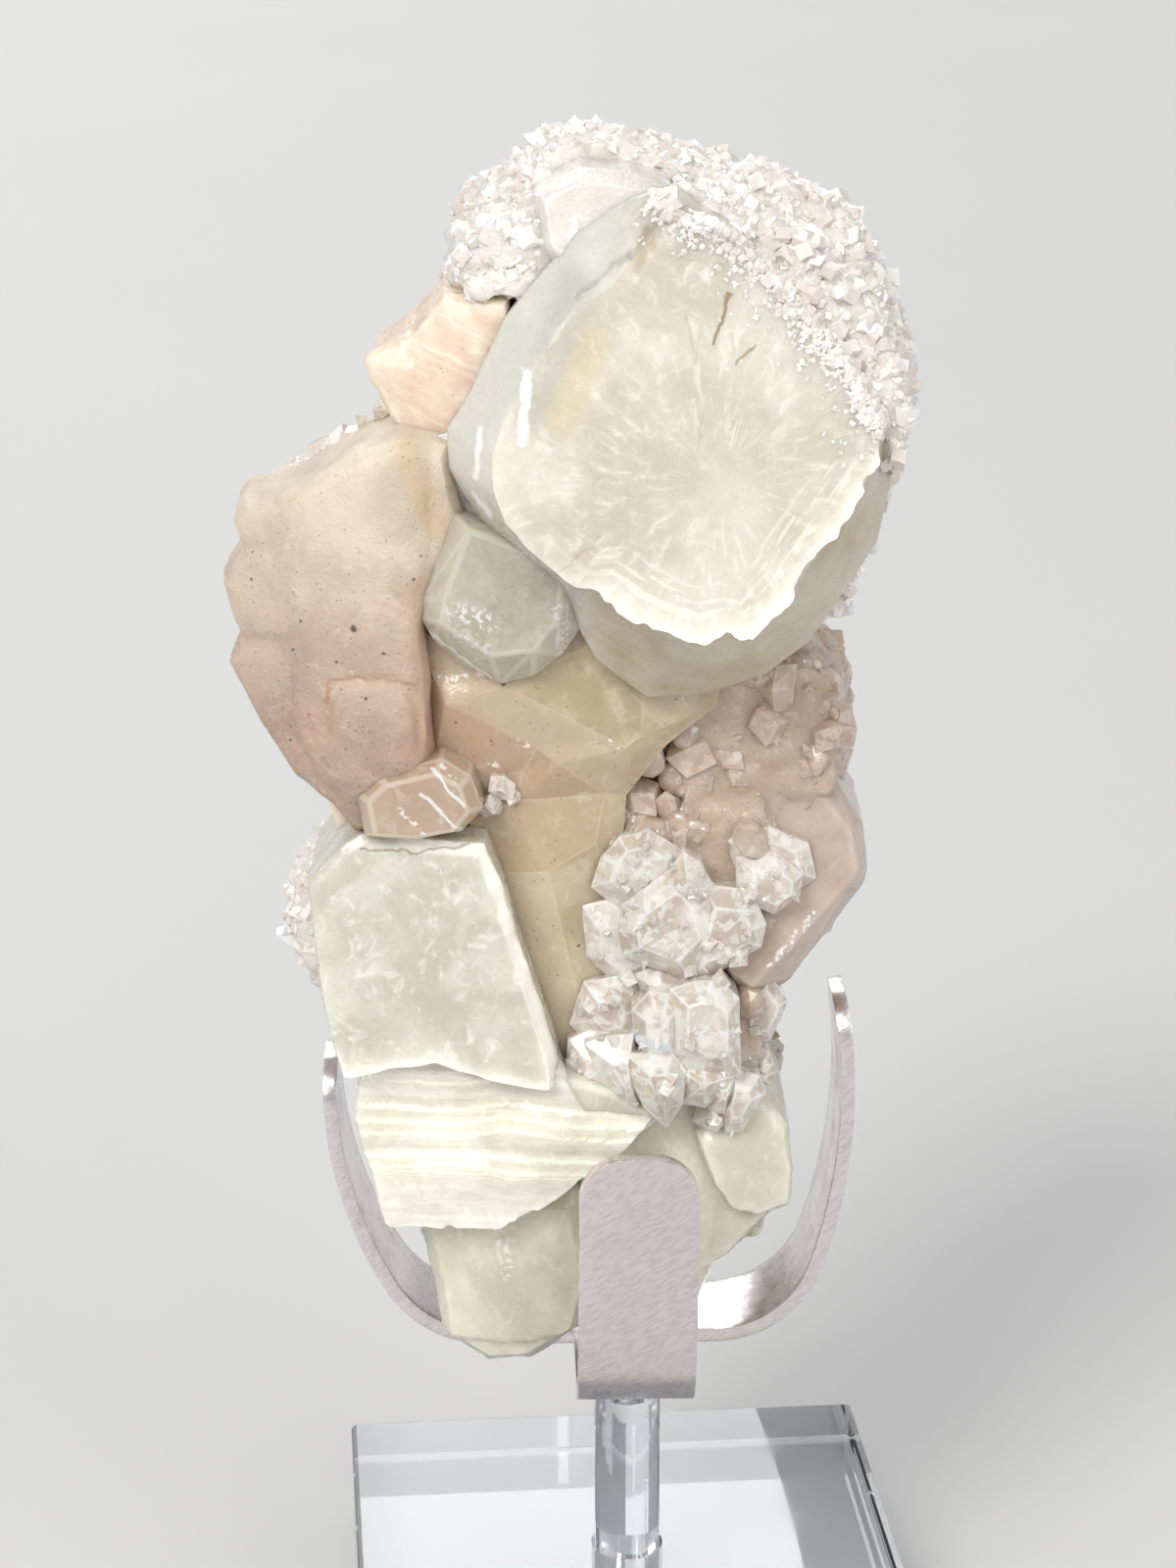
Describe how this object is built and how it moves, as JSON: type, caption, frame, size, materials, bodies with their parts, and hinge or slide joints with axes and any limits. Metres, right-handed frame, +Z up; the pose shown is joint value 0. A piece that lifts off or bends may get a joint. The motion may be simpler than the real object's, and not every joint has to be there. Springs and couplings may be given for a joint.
{
  "type": "calcite specimen on a claw stand",
  "caption": "Cluster of pale cream, peach and clear calcite crystals held in a bent metal claw on a clear rod and square base.",
  "frame": {"origin": "middle of the square base's underside, on the rod's axis", "axes": "+Z up along the rod, -Y towards the specimen's front, +X to its right as seen from the front"},
  "size_m": [0.0602, 0.0509, 0.1405],
  "materials": {
    "calcite": "satin",
    "claw_nickel": "gloss",
    "screw_steel": "satin",
    "rod_acrylic": "polished",
    "base_acrylic": "polished"
  },
  "bodies": {
    "root": {"calcite_cluster": "calcite", "claw": "claw_nickel", "claw_screw": "screw_steel", "rod": "rod_acrylic", "base": "base_acrylic"}
  },
  "joints": []
}
